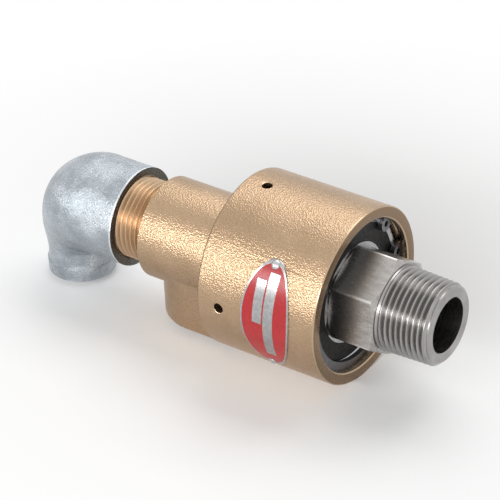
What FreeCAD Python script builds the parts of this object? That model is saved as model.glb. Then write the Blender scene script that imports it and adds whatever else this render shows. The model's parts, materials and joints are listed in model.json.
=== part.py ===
import FreeCAD, Part
import math
import os
from FreeCAD import Vector

os.makedirs("parts", exist_ok=True)

# Hydraulic rotary union. All sizes are millimetres.
# The rotor's open end lies at x = 0 and its axis is the X axis. The casing and the
# elbow lie behind it, towards -X. The side port and the elbow outlet face -Z.

# Fits and edges
SLIP = 0.02            # radial play of pieces that are pushed together by hand
RUNNING = 0.05         # radial play of a piece that slides or turns in another
SMALL_EDGE = 0.4       # broken edge of turned pieces
CUT = 1.0              # how far a cut runs past the face that it opens

# Rotor
THREAD_TIP_D = 32.6    # taper thread over its crests, at the open end
THREAD_TAPER = 1 / 16  # growth of the thread's diameter per length
THREAD_LENGTH = 22.0
THREAD_BEVEL = 1.6     # bevel round the open end
HEX_FLATS = 36.0
HEX_LENGTH = 20.0
HEX_TURN = 24.7        # corner of the hexagon, from +Y towards +Z
HEX_BEVEL = 30.0
ROTOR_BORE_D = 22.0
SHAFT_D = 30.0         # bearing seat
STEP_HEIGHT = 2.0      # step that carries the seal seat, below the bearing seat
STEP_SETBACK = 0.3     # rotor's end behind the seat's face
SHAFT_LIP = 0.4        # shaft left behind the circlip's groove

# Ball bearings, two alike
BEARING_OD = 62.0
BEARING_WIDTH = 16.0
BALL_D = 9.525
BALL_COUNT = 9
OUTER_RING_WALL = 4.0  # at the shoulder, beside the race
INNER_RING_WALL = 5.2
RING_CHAMFER = 0.8
RACE_PLAY = 0.01       # between a ball and the bottom of its race
RACE_CURVE = 1.04      # race radius as a share of the ball's radius
SHIELD_THICKNESS = 1.2
SHIELD_RECESS = 0.4    # depth of the shield below the bearing's face
SHIELD_LIP_DEPTH = 0.8 # depth of the groove that holds the shield's rim
SHIELD_BEAD = 1.4      # thick rim and lip of the shield
SHIELD_HOLLOW = 0.36   # depth of the hollow between them
CAGE_THICKNESS = 2.4
CAGE_GAP = 0.7         # between the cage and a shield
POCKET_PLAY = 0.1
SPACER_LENGTH = 2.0
SPACER_WALL = 2.4

# Circlips
BORE_CLIP_THICKNESS = 2.0
BORE_GROOVE_DEPTH = 1.5
BORE_CLIP_WIDTH = 5.4  # widest part, opposite the gap
BORE_CLIP_NARROW = 1.6 # narrowest part, beside the lugs
CLIP_GAP_ANGLE = 25.0  # direction of the gap, from +Y towards +Z
CLIP_LUG_ANGLE = 19.4  # lug centre from the gap's middle
CLIP_LUG_INSET = 2.3   # lug centre inside the bearing bore
CLIP_LUG_R = 3.1
CLIP_HOLE_D = 2.5
SHAFT_CLIP_THICKNESS = 1.5
SHAFT_GROOVE_DEPTH = 0.7
SHAFT_CLIP_WIDTH = 3.5
SHAFT_CLIP_NARROW = 1.6
SHAFT_LUG_ANGLE = 15.0
SHAFT_LUG_RISE = 3.0   # lug centre outside the shaft
SHAFT_LUG_R = 2.3
SHAFT_CLIP_HOLE_D = 2.0
GROOVE_PLAY = 0.1      # extra width of each circlip groove
LUG_BITE = 0.2         # how deep a lug's bridge runs into its band

# Casing
BODY_WALL = 4.75       # round the bearings
MOUTH_DEPTH = 5.0      # bearing face below the casing's mouth
MOUTH_CHAMFER = 0.5
BODY_EDGE = 1.2        # rounding of the outer edges
BACK_WALL = 4.0
LEDGE = 4.0            # step that the rear bearing rests on
SEAL_BORE_EDGE = 0.6
NECK_WALL = 5.75       # round the nipple's socket
NECK_FILLET = 1.5
WEEP_D = 4.2
WEEP_EDGE = 0.35       # bevel round each weep hole
WEEP_INSET = 4.1       # weep holes behind the rear bearing
SOCKET_STEP = 1.5      # socket of the end nipple, outside the flow chamber
SOCKET_DEPTH = 10.0

# Side port
BOSS_WIDTH = 36.6
BOSS_DROP = 32.5       # flat end of the boss below the axis
BOSS_EDGE = 2.5
BOSS_SETBACK = 0.7     # between the boss and the neck's end
PORT_MINOR_D = 24.12   # taper pipe thread, 3/4 inch
PORT_DEPTH = 13.0
PORT_CHAMFER = 1.2
PASSAGE_D = 16.0
PASSAGE_GAP = 1.0      # between the passage and the seal bore

# Seal
SEAT_WALL = 4.5
SEAT_LENGTH = 4.5
SEAT_O_RING_D = 1.6    # cord of the O-ring, squeezed
SEAT_O_RING_GAP = 0.3  # free length behind the cord
FLOAT_BORE_D = 24.4
FLOAT_WALL = 4.8
NOSE_WALL = 4.3
NOSE_LENGTH = 0.4
FLANGE_HEIGHT = 4.5    # above the ring's tail
FLANGE_THICKNESS = 1.8
FLANGE_ROOM = 1.3      # free way of the ring behind its flange
SEAL_GROOVE_WIDTH = 3.3
SEAL_GROOVE_DEPTH = 2.2
SEAL_GROOVE_BACK = 2.2 # from the ring's tail to the groove
O_RING_FILL = 0.9      # share of its groove that the O-ring fills
PIN_D = 2.8
PIN_INSET = 1.5        # pin centre inside the flange
PIN_DEPTH = 2.5        # pressed into the casing
PIN_PLAY = 0.15
PIN_CHAMFER = 0.3
SPRING_WIRE_D = 1.8
SPRING_TURNS = 3.5
SPRING_LENGTH = 9.5
SPRING_ROOM = 1.0      # radial room between the spring and its bore
SPRING_LEDGE = 3.5     # step that the spring rests on

# End nipple
NIPPLE_D = 33.2
NIPPLE_GAP = 13.4      # from the neck's end to the elbow's mouth
NIPPLE_GRIP = 11.6     # thread inside the elbow
NIPPLE_EDGE = 1.0
SIPHON_MINOR_D = 14.95 # taper pipe thread, 3/8 inch
SIPHON_DEPTH = 12.0
NIPPLE_BORE_D = 12.4
NIPPLE_TAIL_GAP = 0.3  # left free at the bottom of the socket

# Reducing elbow
ELBOW_ARM = 32.2       # mouth to the outlet's axis
ELBOW_DROP = 33.5      # outlet end below the axis
ELBOW_WALL = 3.8       # round the nipple
ELBOW_LEG_WALL = 4.0   # round the outlet thread
ELBOW_BAND_RISE = 0.6  # band round the outlet
ELBOW_BAND = 6.0
ELBOW_INNER_BEND = 1.6
ELBOW_BULGE = 1.3      # how far the outside of the bend stands out halfway round
ELBOW_NECKING = 8.6    # how much narrower the passage is than the nipple
OUTLET_MINOR_D = 18.63 # taper pipe thread, 1/2 inch
OUTLET_DEPTH = 13.0
OUTLET_STEP = 0.4      # passage below the thread's minor radius
PASSAGE_STEP = 0.6     # ledge where the bent passage starts
ELBOW_EDGE = 0.8
THREAD_RUNOUT = 1.0    # free length behind the nipple in the elbow
SEAM_TURN = 45         # start of each circle of the bend, off the bend's plane

# Nameplate
PLATE_BACK = 31.25     # plate's middle in front of the casing's back
PLATE_TURN = 176.7     # direction of the plate's middle, from +Y towards +Z
PLATE_TILT = 1.7       # how far the plate leans out of square
PLATE_HALF_LENGTH = 25.3
PLATE_HALF_WIDTH = 10.8
PLATE_THICKNESS = 0.5
RIVET_INSET = 2.4      # rivet from the plate's tip
RIVET_D = 2.0
RIVET_HEAD_D = 3.8
RIVET_HEAD = 0.9
RIVET_FLOOR = 0.75     # wall left below a rivet's hole
RIVET_TIP_GAP = 0.2

# Diameters that follow from those above
step_d = SHAFT_D - 2 * STEP_HEIGHT
shaft_groove_d = SHAFT_D - 2 * SHAFT_GROOVE_DEPTH
pitch_d = (BEARING_OD + SHAFT_D) / 2
outer_shoulder_d = BEARING_OD - 2 * OUTER_RING_WALL
inner_shoulder_d = SHAFT_D + 2 * INNER_RING_WALL
bore_groove_d = BEARING_OD + 2 * BORE_GROOVE_DEPTH
body_d = BEARING_OD + 2 * BODY_WALL
chamber_d = BEARING_OD - 2 * LEDGE
seat_d = step_d + 2 * SEAT_WALL
float_d = FLOAT_BORE_D + 2 * FLOAT_WALL
nose_d = FLOAT_BORE_D + 2 * NOSE_WALL
flange_d = float_d + 2 * FLANGE_HEIGHT
pin_circle_r = flange_d / 2 - PIN_INSET
flow_d = float_d - 2 * SPRING_LEDGE
socket_d = flow_d + 2 * SOCKET_STEP
neck_d = socket_d + 2 * NECK_WALL
arm_d = NIPPLE_D + 2 * ELBOW_WALL
leg_d = OUTLET_MINOR_D + 2 * ELBOW_LEG_WALL

# Stations along the axis
hex_front = -THREAD_LENGTH
hex_back = hex_front - HEX_LENGTH
front_bearing = hex_back - BEARING_WIDTH
rear_bearing_front = front_bearing - SPACER_LENGTH
rear_bearing = rear_bearing_front - BEARING_WIDTH
shaft_end = rear_bearing - SHAFT_CLIP_THICKNESS - GROOVE_PLAY - SHAFT_LIP
seal_face = shaft_end - SEAT_LENGTH
step_end = seal_face + STEP_SETBACK
flange_front = seal_face - NOSE_LENGTH
flange_back = flange_front - FLANGE_THICKNESS
mouth = hex_back + MOUTH_DEPTH
chamber_back = flange_back - FLANGE_ROOM
body_back = chamber_back - BACK_WALL
float_tail = chamber_back - SEAL_GROOVE_WIDTH - SEAL_GROOVE_BACK
seal_bore_back = float_tail - SPRING_LENGTH
port_x = seal_bore_back - PASSAGE_D / 2 - PASSAGE_GAP
neck_end = port_x - BOSS_WIDTH / 2 - BOSS_SETBACK
socket_bottom = neck_end + SOCKET_DEPTH
weep_x = rear_bearing - WEEP_INSET
plate_x = body_back + PLATE_BACK
elbow_mouth = neck_end - NIPPLE_GAP
leg_x = elbow_mouth - ELBOW_ARM
nipple_end = elbow_mouth - NIPPLE_GRIP
bend_front = leg_x + leg_d / 2 + ELBOW_INNER_BEND


def turned(outline):
    """Solid turned about the X axis from (x, radius) corners."""
    corners = [Vector(x, 0, r) for x, r in outline]
    face = Part.Face(Part.makePolygon(corners + corners[:1]))
    return face.revolve(Vector(0, 0, 0), Vector(1, 0, 0), 360)


def rod(back, front, diameter):
    """Cylinder about the X axis between two stations."""
    return Part.makeCylinder(diameter / 2, front - back, Vector(back, 0, 0), Vector(1, 0, 0))


def pipe(back, front, outer, inner):
    """Plain ring about the X axis."""
    return rod(back, front, outer).cut(rod(back - CUT, front + CUT, inner))


def drill(back, depth, radius, angle, diameter):
    """Cylinder along X whose centre lies at a radius and an angle."""
    start = polar(back, radius, angle)
    return Part.makeCylinder(diameter / 2, depth, start, Vector(1, 0, 0))


def polar(x, radius, angle):
    """Point at a radius and an angle that is measured from +Y towards +Z."""
    turn = math.radians(angle)
    return Vector(x, radius * math.cos(turn), radius * math.sin(turn))


def pin(x, inner, outer, angle, diameter):
    """Cylinder that stands out from the axis between two radii."""
    start = polar(x, inner, angle)
    return Part.makeCylinder(diameter / 2, outer - inner, start, polar(0, 1, angle))


def oval_ring(x, radius, half_width, half_height):
    """Rubber ring with an oval section, as squeezed in its groove."""
    centre = Vector(x, 0, radius)
    wide = centre + Vector(half_width, 0, 0)
    high = centre + Vector(0, 0, half_height)
    section = Part.Ellipse(wide, high, centre).toShape()
    face = Part.Face(Part.Wire([section]))
    return face.revolve(Vector(0, 0, 0), Vector(1, 0, 0), 360)


def save(shape, name):
    shape.exportStep("parts/" + name + ".step")


def make_rotor():
    """Taper thread, hexagon, shaft for the bearings and step for the seal seat."""
    tip = THREAD_TIP_D / 2
    root = tip + THREAD_LENGTH * THREAD_TAPER / 2
    bevel = THREAD_BEVEL
    groove = SHAFT_CLIP_THICKNESS + GROOVE_PLAY
    body = turned([
        (0, ROTOR_BORE_D / 2),
        (0, tip - bevel),
        (-bevel, tip + bevel * THREAD_TAPER / 2),
        (hex_front, root),
        (hex_front - HEX_LENGTH / 2, root),
        (hex_back, SHAFT_D / 2),
        (rear_bearing, SHAFT_D / 2),
        (rear_bearing, shaft_groove_d / 2),
        (rear_bearing - groove, shaft_groove_d / 2),
        (rear_bearing - groove, SHAFT_D / 2),
        (shaft_end, SHAFT_D / 2),
        (shaft_end, step_d / 2),
        (step_end + SMALL_EDGE, step_d / 2),
        (step_end, step_d / 2 - SMALL_EDGE),
        (step_end, ROTOR_BORE_D / 2),
    ])
    return body.fuse(make_hexagon()).removeSplitter()


def make_hexagon():
    """Spanner hexagon with bevelled corners."""
    corner = HEX_FLATS / math.sqrt(3)
    points = [polar(hex_back, corner, HEX_TURN + 60 * i) for i in range(7)]
    prism = Part.Face(Part.makePolygon(points)).extrude(Vector(HEX_LENGTH, 0, 0))
    flat = HEX_FLATS / 2
    reach = corner + 1
    slope = (reach - flat) * math.tan(math.radians(HEX_BEVEL))
    bevelled = turned([
        (hex_front, ROTOR_BORE_D / 2),
        (hex_front, flat),
        (hex_front - slope, reach),
        (hex_back + slope, reach),
        (hex_back, flat),
        (hex_back, ROTOR_BORE_D / 2),
    ])
    return prism.common(bevelled)


def bearing_ring(front, seat, shoulder, rim, outward):
    """Bearing ring with its race and the grooves for both shields."""
    back = front - BEARING_WIDTH
    middle = front - BEARING_WIDTH / 2
    edge = RING_CHAMFER
    groove = SHIELD_RECESS + SHIELD_THICKNESS
    away = -1 if outward else 1
    ring = turned([
        (front - edge, seat),
        (front, seat + away * edge),
        (front, rim),
        (front - groove, rim),
        (front - groove, shoulder),
        (back + groove, shoulder),
        (back + groove, rim),
        (back, rim),
        (back, seat + away * edge),
        (back + edge, seat),
    ])
    race = BALL_D / 2 * RACE_CURVE
    offset = race - BALL_D / 2 - RACE_PLAY
    if outward:
        centre = pitch_d / 2 - offset
    else:
        centre = pitch_d / 2 + offset
    torus = Part.makeTorus(centre, race, Vector(middle, 0, 0), Vector(1, 0, 0))
    return ring.cut(torus)


def make_outer_ring(front):
    shoulder = outer_shoulder_d / 2
    seat = BEARING_OD / 2 - SLIP
    return bearing_ring(front, seat, shoulder, shoulder + SHIELD_LIP_DEPTH, True)


def make_inner_ring(front):
    shoulder = inner_shoulder_d / 2
    seat = SHAFT_D / 2 + SLIP
    return bearing_ring(front, seat, shoulder, shoulder, False)


def make_balls(front):
    middle = front - BEARING_WIDTH / 2
    balls = []
    for i in range(BALL_COUNT):
        centre = polar(middle, pitch_d / 2, 360 / BALL_COUNT * i)
        balls.append(Part.makeSphere(BALL_D / 2, centre, Vector(1, 0, 0)))
    return Part.makeCompound(balls)


def make_cage(front):
    """Ring that keeps the balls apart, one round pocket for each."""
    middle = front - BEARING_WIDTH / 2
    inset = SHIELD_RECESS + SHIELD_THICKNESS + CAGE_GAP
    inner = pitch_d / 2 - CAGE_THICKNESS / 2
    outer = pitch_d / 2 + CAGE_THICKNESS / 2
    cage = pipe(front - BEARING_WIDTH + inset, front - inset, 2 * outer, 2 * inner)
    pocket = BALL_D + 2 * POCKET_PLAY
    for i in range(BALL_COUNT):
        cage = cage.cut(pin(middle, inner - CUT, outer + CUT, 360 / BALL_COUNT * i, pocket))
    return cage


def make_shield(outer_face, side):
    """Rubber shield. Its rim sits in the outer ring, its lip clears the inner ring."""
    near = outer_face + side * SHIELD_RECESS
    far = near + side * SHIELD_THICKNESS
    rim = outer_shoulder_d / 2 + SHIELD_LIP_DEPTH - SLIP
    lip = inner_shoulder_d / 2 + RUNNING
    bead = SHIELD_BEAD
    hollow = SHIELD_HOLLOW
    return turned([
        (near, lip),
        (near, lip + bead),
        (near + side * hollow, lip + bead + hollow),
        (near + side * hollow, rim - bead - hollow),
        (near, rim - bead),
        (near, rim),
        (far, rim),
        (far, lip),
    ])


def make_outer_spacer():
    outer = BEARING_OD - 2 * SLIP
    return pipe(rear_bearing_front, front_bearing, outer, outer - 2 * SPACER_WALL)


def make_inner_spacer():
    inner = SHAFT_D + 2 * SLIP
    return pipe(rear_bearing_front, front_bearing, inner + 2 * SPACER_WALL, inner)


def lug(back, thickness, radius, size, angle, band):
    """Rounded ear of a circlip, joined to the band by a short bridge."""
    end = drill(back, thickness, radius, angle, 2 * size)
    low = min(radius, band)
    bridge = Part.makeBox(thickness, abs(band - radius), size * 2, Vector(back, low, -size))
    bridge.rotate(Vector(0, 0, 0), Vector(1, 0, 0), angle)
    return end.fuse(bridge)


def clip_gap(back, thickness, reach, angle, half_angle):
    """Wedge that opens a circlip between its lugs."""
    start = back - CUT
    points = [
        Vector(start, 0, 0),
        polar(start, reach, angle - half_angle),
        polar(start, reach, angle),
        polar(start, reach, angle + half_angle),
        Vector(start, 0, 0),
    ]
    return Part.Face(Part.makePolygon(points)).extrude(Vector(thickness + 2 * CUT, 0, 0))


def make_bore_circlip():
    """Circlip in the casing's groove: narrow beside its gap, wide opposite, two lugs inwards."""
    back = hex_back
    thickness = BORE_CLIP_THICKNESS
    outer = bore_groove_d - 2 * SLIP
    shift = (BORE_CLIP_WIDTH - BORE_CLIP_NARROW) / 2
    hole = outer - BORE_CLIP_WIDTH - BORE_CLIP_NARROW
    radius = BEARING_OD / 2 - CLIP_LUG_INSET
    through = thickness + 2 * CUT
    ring = rod(back, back + thickness, outer)
    ring = ring.cut(drill(back - CUT, through, shift, CLIP_GAP_ANGLE, hole))
    ring = ring.cut(clip_gap(back, thickness, outer, CLIP_GAP_ANGLE, CLIP_LUG_ANGLE))
    lug_angles = (CLIP_GAP_ANGLE - CLIP_LUG_ANGLE, CLIP_GAP_ANGLE + CLIP_LUG_ANGLE)
    for angle in lug_angles:
        ring = ring.fuse(lug(back, thickness, radius, CLIP_LUG_R, angle, outer / 2 - LUG_BITE))
    ring = ring.common(rod(back, back + thickness, outer))
    for angle in lug_angles:
        ring = ring.cut(drill(back - CUT, through, radius, angle, CLIP_HOLE_D))
    return ring.removeSplitter()


def make_shaft_circlip():
    """Circlip in the rotor's groove: narrow beside its gap, wide opposite, two lugs outwards."""
    thickness = SHAFT_CLIP_THICKNESS
    back = rear_bearing - thickness
    inner = shaft_groove_d + 2 * SLIP
    shift = (SHAFT_CLIP_WIDTH - SHAFT_CLIP_NARROW) / 2
    outside = inner + SHAFT_CLIP_WIDTH + SHAFT_CLIP_NARROW
    radius = SHAFT_D / 2 + SHAFT_LUG_RISE
    through = thickness + 2 * CUT
    ring = drill(back, thickness, shift, 180, outside)
    ring = ring.cut(clip_gap(back, thickness, SHAFT_D, 0, SHAFT_LUG_ANGLE))
    lug_angles = (-SHAFT_LUG_ANGLE, SHAFT_LUG_ANGLE)
    for angle in lug_angles:
        ring = ring.fuse(lug(back, thickness, radius, SHAFT_LUG_R, angle, inner / 2 + LUG_BITE))
    ring = ring.cut(rod(back - CUT, rear_bearing + CUT, inner))
    for angle in lug_angles:
        ring = ring.cut(drill(back - CUT, through, radius, angle, SHAFT_CLIP_HOLE_D))
    return ring.removeSplitter()


def casing_outside():
    """Round bearing end and neck as cast, with softened edges."""
    barrel = rod(body_back, mouth, body_d)
    barrel = barrel.makeFillet(BODY_EDGE, [e for e in barrel.Edges if is_ring(e, body_back, body_d)])
    barrel = barrel.makeChamfer(MOUTH_CHAMFER, [e for e in barrel.Edges if is_ring(e, mouth, body_d)])
    round_part = barrel.fuse(rod(neck_end, chamber_back, neck_d))
    corner = [e for e in round_part.Edges if is_ring(e, body_back, neck_d)]
    round_part = round_part.makeFillet(NECK_FILLET, corner)
    return round_part.fuse(make_boss()).removeSplitter()


def is_ring(edge, x, diameter):
    """True for a circle about the axis at one station."""
    box = edge.BoundBox
    flat = abs(box.XMin - x) < 0.01 and abs(box.XMax - x) < 0.01
    return flat and abs(box.YLength - diameter) < 0.01


def make_boss():
    """Cast boss of the side port: flat sides, round end, flat face below."""
    half = BOSS_WIDTH / 2
    front = body_back
    corner = Vector(port_x, -half, -BOSS_DROP)
    block = Part.makeBox(front - port_x, BOSS_WIDTH, BOSS_DROP, corner)
    end = Part.makeCylinder(half, BOSS_DROP, Vector(port_x, 0, -BOSS_DROP), Vector(0, 0, 1))
    boss = block.fuse(end).removeSplitter()
    lower = []
    for edge in boss.Edges:
        box = edge.BoundBox
        if box.ZMax < -BOSS_DROP + 0.01 and box.XMin < front - 0.01:
            lower.append(edge)
    return boss.makeFillet(BOSS_EDGE, lower)


def casing_inside():
    """Bores of the casing, turned about the axis."""
    bore = BEARING_OD / 2
    groove_back = hex_back - GROOVE_PLAY / 2
    groove_front = hex_back + BORE_CLIP_THICKNESS + GROOVE_PLAY / 2
    seal_bore = float_d / 2 + RUNNING
    return turned([
        (mouth + CUT, 0),
        (mouth + CUT, bore + MOUTH_CHAMFER + CUT),
        (mouth - MOUTH_CHAMFER, bore),
        (groove_front, bore),
        (groove_front, bore_groove_d / 2),
        (groove_back, bore_groove_d / 2),
        (groove_back, bore),
        (rear_bearing, bore),
        (rear_bearing, chamber_d / 2),
        (chamber_back, chamber_d / 2),
        (chamber_back, seal_bore + SEAL_BORE_EDGE),
        (chamber_back - SEAL_BORE_EDGE, seal_bore),
        (seal_bore_back, seal_bore),
        (seal_bore_back, flow_d / 2),
        (socket_bottom, flow_d / 2),
        (socket_bottom, socket_d / 2),
        (neck_end - CUT, socket_d / 2),
        (neck_end - CUT, 0),
    ])


def side_port():
    """Threaded port, shown at its minor diameter, and the passage above it."""
    minor = PORT_MINOR_D / 2
    low = -BOSS_DROP
    top = low + PORT_DEPTH
    down = Vector(port_x, 0, low)
    up = Vector(0, 0, 1)
    port = Part.makeCylinder(minor, PORT_DEPTH, down, up)
    mouth_cone = Part.makeCone(minor + PORT_CHAMFER, minor, PORT_CHAMFER, down, up)
    passage = Part.makeCylinder(PASSAGE_D / 2, -top, Vector(port_x, 0, top), up)
    return port.fuse(mouth_cone).fuse(passage)


def weep_hole(angle):
    """Drilled hole into the seal chamber, bevelled at the casing's surface."""
    surface = body_d / 2
    hole = pin(weep_x, chamber_d / 2 - LEDGE, surface + CUT, angle, WEEP_D)
    start = polar(weep_x, surface - WEEP_EDGE, angle)
    small = WEEP_D / 2
    bevel = Part.makeCone(small, small + WEEP_EDGE + CUT, WEEP_EDGE + CUT, start, polar(0, 1, angle))
    return hole.fuse(bevel)


def make_body_casting():
    """Bronze casing with all its bores and holes."""
    body = casing_outside().cut(casing_inside()).cut(side_port())
    for angle in (0, 90, 180, 270):
        body = body.cut(weep_hole(angle))
    for side in (-1, 1):
        body = body.cut(rivet_hole(side))
    for angle in (90, 270):
        depth = PIN_DEPTH + CUT
        body = body.cut(drill(chamber_back - PIN_DEPTH, depth, pin_circle_r, angle, PIN_D))
    return body


def make_seal_seat():
    """Hard ring that turns with the rotor. A corner is left for its O-ring."""
    bore = step_d / 2 + RUNNING
    corner = bore + SEAT_O_RING_D
    corner_back = shaft_end - SEAT_O_RING_D - SEAT_O_RING_GAP
    return turned([
        (shaft_end, corner),
        (shaft_end, seat_d / 2 - SMALL_EDGE),
        (shaft_end - SMALL_EDGE, seat_d / 2),
        (seal_face + SMALL_EDGE, seat_d / 2),
        (seal_face, seat_d / 2 - SMALL_EDGE),
        (seal_face, bore),
        (corner_back, bore),
        (corner_back, corner),
    ])


def make_seat_o_ring():
    """Rubber ring between the seat, the step and the shaft's end face."""
    cord = SEAT_O_RING_D / 2
    centre = Vector(shaft_end - cord - SLIP, 0, 0)
    return Part.makeTorus(step_d / 2 + cord + SLIP, cord, centre, Vector(1, 0, 0))


def make_floating_ring():
    """Carbon ring: lapped nose, flange with two slots, tail with a groove."""
    groove_back = float_tail + SEAL_GROOVE_BACK
    groove_front = groove_back + SEAL_GROOVE_WIDTH
    tail = float_d / 2
    ring = turned([
        (seal_face, FLOAT_BORE_D / 2),
        (seal_face, nose_d / 2),
        (flange_front, nose_d / 2),
        (flange_front, flange_d / 2),
        (flange_back, flange_d / 2),
        (flange_back, tail),
        (groove_front, tail),
        (groove_front, tail - SEAL_GROOVE_DEPTH),
        (groove_back, tail - SEAL_GROOVE_DEPTH),
        (groove_back, tail),
        (float_tail + SMALL_EDGE, tail),
        (float_tail, tail - SMALL_EDGE),
        (float_tail, FLOAT_BORE_D / 2),
    ])
    slot = PIN_D + 2 * PIN_PLAY
    length = FLANGE_THICKNESS + 2 * CUT
    for angle in (90, 270):
        ring = ring.cut(drill(flange_back - CUT, length, pin_circle_r, angle, slot))
        corner = Vector(flange_back - CUT, pin_circle_r, -slot / 2)
        opening = Part.makeBox(length, PIN_INSET + CUT, slot, corner)
        opening.rotate(Vector(0, 0, 0), Vector(1, 0, 0), angle)
        ring = ring.cut(opening)
    return ring


def make_seal_o_ring():
    """Rubber ring in the carbon ring's groove, squeezed against the seal bore."""
    middle = float_tail + SEAL_GROOVE_BACK + SEAL_GROOVE_WIDTH / 2
    low = float_d / 2 - SEAL_GROOVE_DEPTH + SLIP
    high = float_d / 2 + RUNNING - SLIP
    half_width = SEAL_GROOVE_WIDTH / 2 * O_RING_FILL
    return oval_ring(middle, (low + high) / 2, half_width, (high - low) / 2)


def make_seal_spring():
    """Coil spring from the casing's step to the carbon ring's tail, lofted along its helix."""
    wire = SPRING_WIRE_D / 2
    radius = float_d / 2 - wire - SPRING_ROOM
    height = SPRING_LENGTH - SPRING_WIRE_D
    steps = 8 * math.ceil(SPRING_TURNS)
    rings = []
    for i in range(steps + 1):
        share = i / steps
        ring = Part.Circle(Vector(0, 0, 0), Vector(0, 1, 0), wire).toShape()
        ring.translate(Vector(radius, 0, height * share))
        ring.rotate(Vector(0, 0, 0), Vector(0, 0, 1), 360 * SPRING_TURNS * share)
        rings.append(Part.Wire([ring]))
    coil = Part.makeLoft(rings, True, False)
    coil.rotate(Vector(0, 0, 0), Vector(0, 1, 0), 90)
    coil.translate(Vector(seal_bore_back + wire, 0, 0))
    return coil


def make_drive_pins():
    """Two pins, pressed into the casing, in the slots of the carbon ring."""
    pins = []
    back = chamber_back - PIN_DEPTH
    for angle in (90, 270):
        body = drill(back, flange_front - back, pin_circle_r, angle, PIN_D)
        top = [e for e in body.Edges if e.BoundBox.XMin > flange_back]
        pins.append(body.makeChamfer(PIN_CHAMFER, top))
    return Part.makeCompound(pins)


def make_end_nipple():
    """Brass nipple: tail in the neck, taper thread in the elbow."""
    tail = socket_d / 2 - SLIP
    front = socket_bottom - NIPPLE_TAIL_GAP
    thread = NIPPLE_D / 2
    tip = thread - NIPPLE_GRIP * THREAD_TAPER / 2
    edge = NIPPLE_EDGE
    step = front - SIPHON_DEPTH
    return turned([
        (front, SIPHON_MINOR_D / 2 + edge),
        (front, tail - edge),
        (front - edge, tail),
        (neck_end, tail),
        (neck_end, thread),
        (nipple_end + edge, tip),
        (nipple_end, tip - edge),
        (nipple_end, NIPPLE_BORE_D / 2 + edge),
        (nipple_end + edge, NIPPLE_BORE_D / 2),
        (step, NIPPLE_BORE_D / 2),
        (step, SIPHON_MINOR_D / 2),
        (front - edge, SIPHON_MINOR_D / 2),
    ])


def section(x, z, swing, radius):
    """Circle across the elbow's path, turned by the swing from the arm's direction."""
    ring = Part.Circle(Vector(0, 0, 0), Vector(-1, 0, 0), radius).toShape()
    ring.rotate(Vector(0, 0, 0), Vector(1, 0, 0), SEAM_TURN)
    ring.rotate(Vector(0, 0, 0), Vector(0, 1, 0), -math.degrees(swing))
    ring.translate(Vector(x, 0, z))
    return Part.Wire([ring])


def bend(arm, leg, bulge, tail):
    """Loft through circles that swing from the arm to the leg, then run down the leg."""
    pivot_z = -arm_d / 2 - ELBOW_INNER_BEND
    quarter = math.pi / 2
    rings = []
    steps = 6
    for i in range(steps + 1):
        share = i / steps
        swing = quarter * share
        ease = share * share * (3 - 2 * share)
        push = bulge / 2 * math.sin(math.pi * share)
        radius = arm + (leg - arm) * ease + push
        reach = -pivot_z + (bend_front - leg_x + pivot_z) * ease + push
        x = bend_front - reach * math.sin(swing)
        z = pivot_z + reach * math.cos(swing)
        rings.append(section(x, z, swing, radius))
    for share in (0.5, 1):
        rings.append(section(leg_x, pivot_z - tail * share, quarter, leg))
    return Part.makeLoft(rings, True, False)


def make_elbow():
    """Reducing elbow of malleable iron, with a band round its outlet."""
    leg = leg_d / 2
    tail = ELBOW_DROP - arm_d / 2 - ELBOW_INNER_BEND - ELBOW_BAND / 2
    solid = bend(arm_d / 2, leg, ELBOW_BULGE, tail)
    solid = solid.fuse(rod(bend_front, elbow_mouth, arm_d))
    up = Vector(0, 0, 1)
    rim = leg + ELBOW_BAND_RISE
    slope = 2 * ELBOW_BAND_RISE
    band = Part.makeCylinder(rim, ELBOW_BAND - slope, Vector(leg_x, 0, -ELBOW_DROP), up)
    top = Vector(leg_x, 0, ELBOW_BAND - slope - ELBOW_DROP)
    band = band.fuse(Part.makeCone(rim, rim - slope, slope, top, up))
    return solid.fuse(band).cut(elbow_bores()).removeSplitter()


def elbow_bores():
    """Thread socket, bent passage and threaded outlet of the elbow."""
    socket = NIPPLE_D / 2 + SLIP
    bore = (NIPPLE_D - ELBOW_NECKING) / 2
    outlet = OUTLET_MINOR_D / 2
    edge = ELBOW_EDGE
    runout = nipple_end - THREAD_RUNOUT
    inside = turned([
        (elbow_mouth + CUT, 0),
        (elbow_mouth + CUT, socket + edge + CUT),
        (elbow_mouth - edge, socket),
        (runout, socket),
        (runout - THREAD_RUNOUT, bore),
        (bend_front - CUT, bore),
        (bend_front - CUT, 0),
    ])
    inside = inside.fuse(bend(bore - PASSAGE_STEP, outlet - OUTLET_STEP, 0, 2 * CUT))
    low = Vector(leg_x, 0, -ELBOW_DROP)
    up = Vector(0, 0, 1)
    inside = inside.fuse(Part.makeCylinder(outlet, OUTLET_DEPTH, low, up))
    return inside.fuse(Part.makeCone(outlet + edge, outlet, edge, low, up))


def rivet_place(side):
    """Station and direction of a rivet, the upper one for side 1."""
    reach = PLATE_HALF_LENGTH - RIVET_INSET
    lean = math.radians(PLATE_TILT)
    swing = math.degrees(reach * math.cos(lean) / (body_d / 2))
    return plate_x + side * reach * math.sin(lean), PLATE_TURN - side * swing


def rivet_hole(side):
    """Hole for a rivet through the plate and into the casing's wall."""
    x, angle = rivet_place(side)
    bottom = BEARING_OD / 2 + RIVET_FLOOR
    return pin(x, bottom, body_d / 2 + PLATE_THICKNESS + CUT, angle, RIVET_D + 2 * SLIP)


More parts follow.
